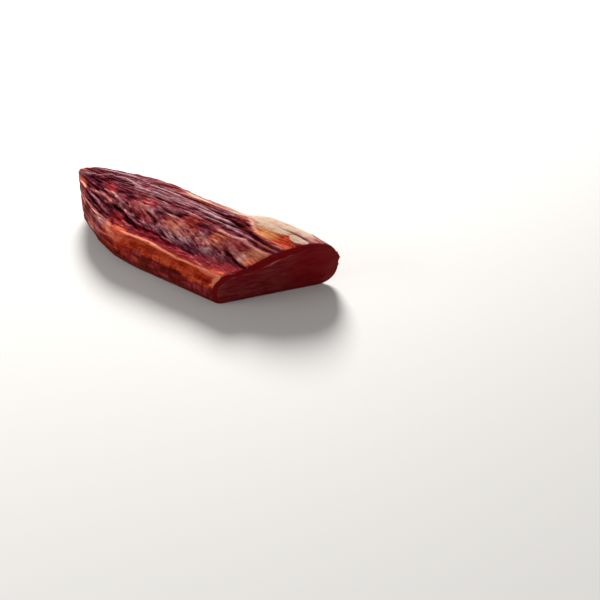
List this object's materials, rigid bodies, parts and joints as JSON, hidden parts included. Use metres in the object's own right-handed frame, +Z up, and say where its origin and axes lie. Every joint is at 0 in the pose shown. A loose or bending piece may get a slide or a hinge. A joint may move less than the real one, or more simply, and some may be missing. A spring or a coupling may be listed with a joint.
{
  "type": "cured pork loin",
  "caption": "Piece of cured pork loin in its dried, wrinkled skin, lying flat, with a gathered tip at one end and a slanting knife cut at the other.",
  "frame": {"origin": "middle of the flat underside, at the centre of the bounding box's bottom", "axes": "+X along the loin, from the gathered tip to the knife cut; +Y across it, to the side where it is longest; +Z up"},
  "size_m": [0.2124, 0.063, 0.0454],
  "materials": {
    "cured_meat": "dried wrinkled skin with a soft gloss, dark maroon with red, orange and cream patches of fat; the cut face is smooth dark red with a pale seam of fat"
  },
  "bodies": {
    "root": {"loin": "cured_meat"}
  },
  "joints": []
}
